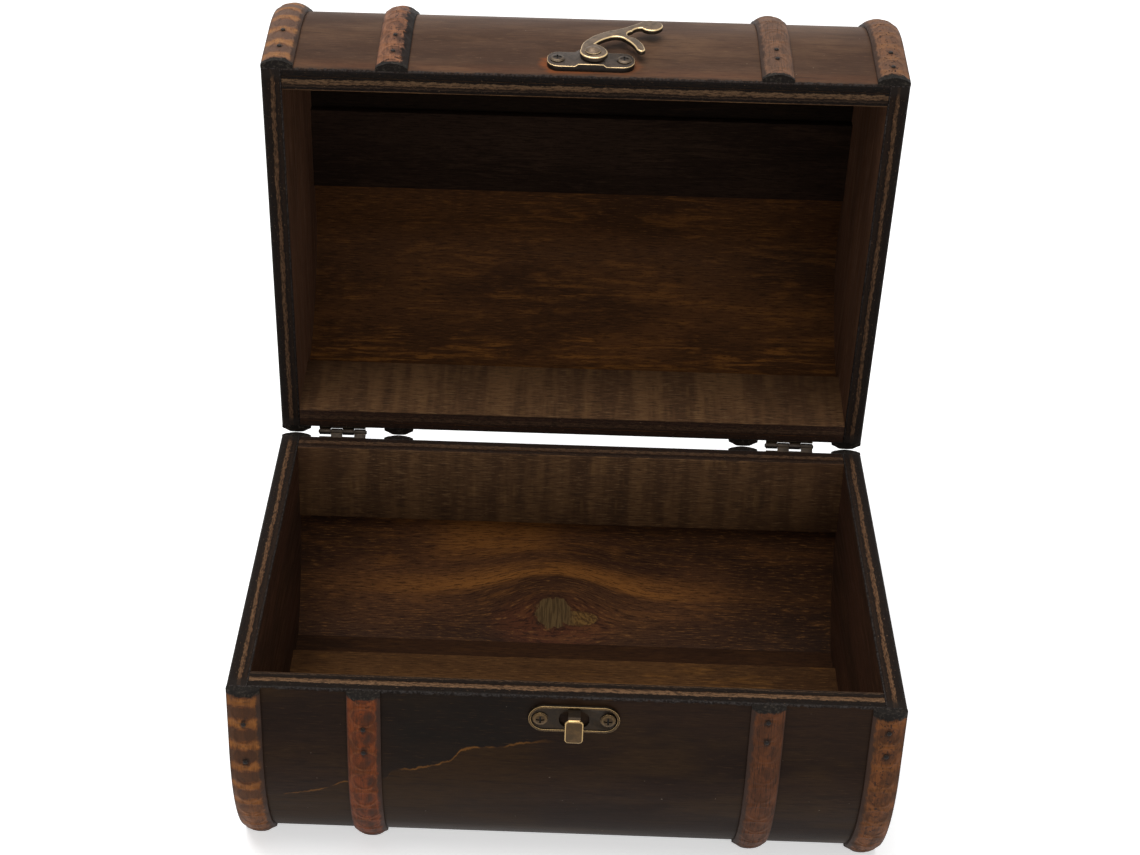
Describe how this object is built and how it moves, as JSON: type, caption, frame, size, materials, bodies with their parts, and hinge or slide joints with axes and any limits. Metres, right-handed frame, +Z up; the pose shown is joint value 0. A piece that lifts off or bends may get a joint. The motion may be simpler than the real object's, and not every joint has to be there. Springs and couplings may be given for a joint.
{
  "type": "treasure chest box",
  "caption": "Small domed treasure chest of dark worn wood with half-round embossed ribs, standing open on two butt hinges, with a swing hook and keeper latch",
  "frame": {"origin": "centre of the underside, on the surface that the chest stands on", "axes": "+X to the right seen from the front, +Y to the back where the hinges are, +Z up"},
  "size_m": [0.22, 0.2415, 0.2458],
  "materials": {
    "shell_wood": "dark stained, worn",
    "lining_wood": "rough sawn, stained",
    "strap_wood": "embossed moulding, rubbed stain",
    "antique_brass": "antiqued, bright on the edges",
    "nail_steel": "dulled"
  },
  "bodies": {
    "base": {"base_end_left": "shell_wood", "base_end_right": "shell_wood", "base_front_panel": "shell_wood", "base_back_panel": "shell_wood", "base_bottom_board": "shell_wood", "base_front_liner": "lining_wood", "base_back_liner": "lining_wood", "base_floor_board": "lining_wood", "base_strap_front_1": "strap_wood", "base_strap_front_2": "strap_wood", "base_strap_front_3": "strap_wood", "base_strap_front_4": "strap_wood", "base_strap_back_1": "strap_wood", "base_strap_back_2": "strap_wood", "base_strap_back_3": "strap_wood", "base_strap_back_4": "strap_wood", "base_strap_nails": "nail_steel", "hinge_left_base_leaf": "antique_brass", "hinge_right_base_leaf": "antique_brass", "keeper_plate": "antique_brass", "keeper_screws": "antique_brass", "hinge_left_pin": "nail_steel", "hinge_right_pin": "nail_steel", "hinge_base_screws": "nail_steel"},
    "lid": {"lid_end_left": "shell_wood", "lid_end_right": "shell_wood", "lid_front_panel": "shell_wood", "lid_back_panel": "shell_wood", "lid_front_liner": "lining_wood", "lid_back_liner": "lining_wood", "lid_ridge_strip": "lining_wood", "lid_strap_1": "strap_wood", "lid_strap_2": "strap_wood", "lid_strap_3": "strap_wood", "lid_strap_4": "strap_wood", "lid_strap_nails": "nail_steel", "hinge_left_lid_leaf": "antique_brass", "hinge_right_lid_leaf": "antique_brass", "hinge_lid_screws": "nail_steel", "hook_plate": "antique_brass", "hook_plate_screws": "antique_brass", "hook_washer": "antique_brass", "hook_rivet": "antique_brass"},
    "hook": {"hook": "antique_brass"}
  },
  "joints": [
    {"name": "lid_hinge", "type": "hinge", "parent": "base", "child": "lid", "pos_m": [0, 0.0799, 0.0808], "axis": [1, 0, 0], "range_deg": [0, 83]},
    {"name": "hook_pivot", "type": "hinge", "parent": "lid", "child": "hook", "pos_m": [0.00265, 0.06864, 0.24143], "axis": [0, -0.1219, 0.9925], "range_deg": [-105, 60]}
  ]
}
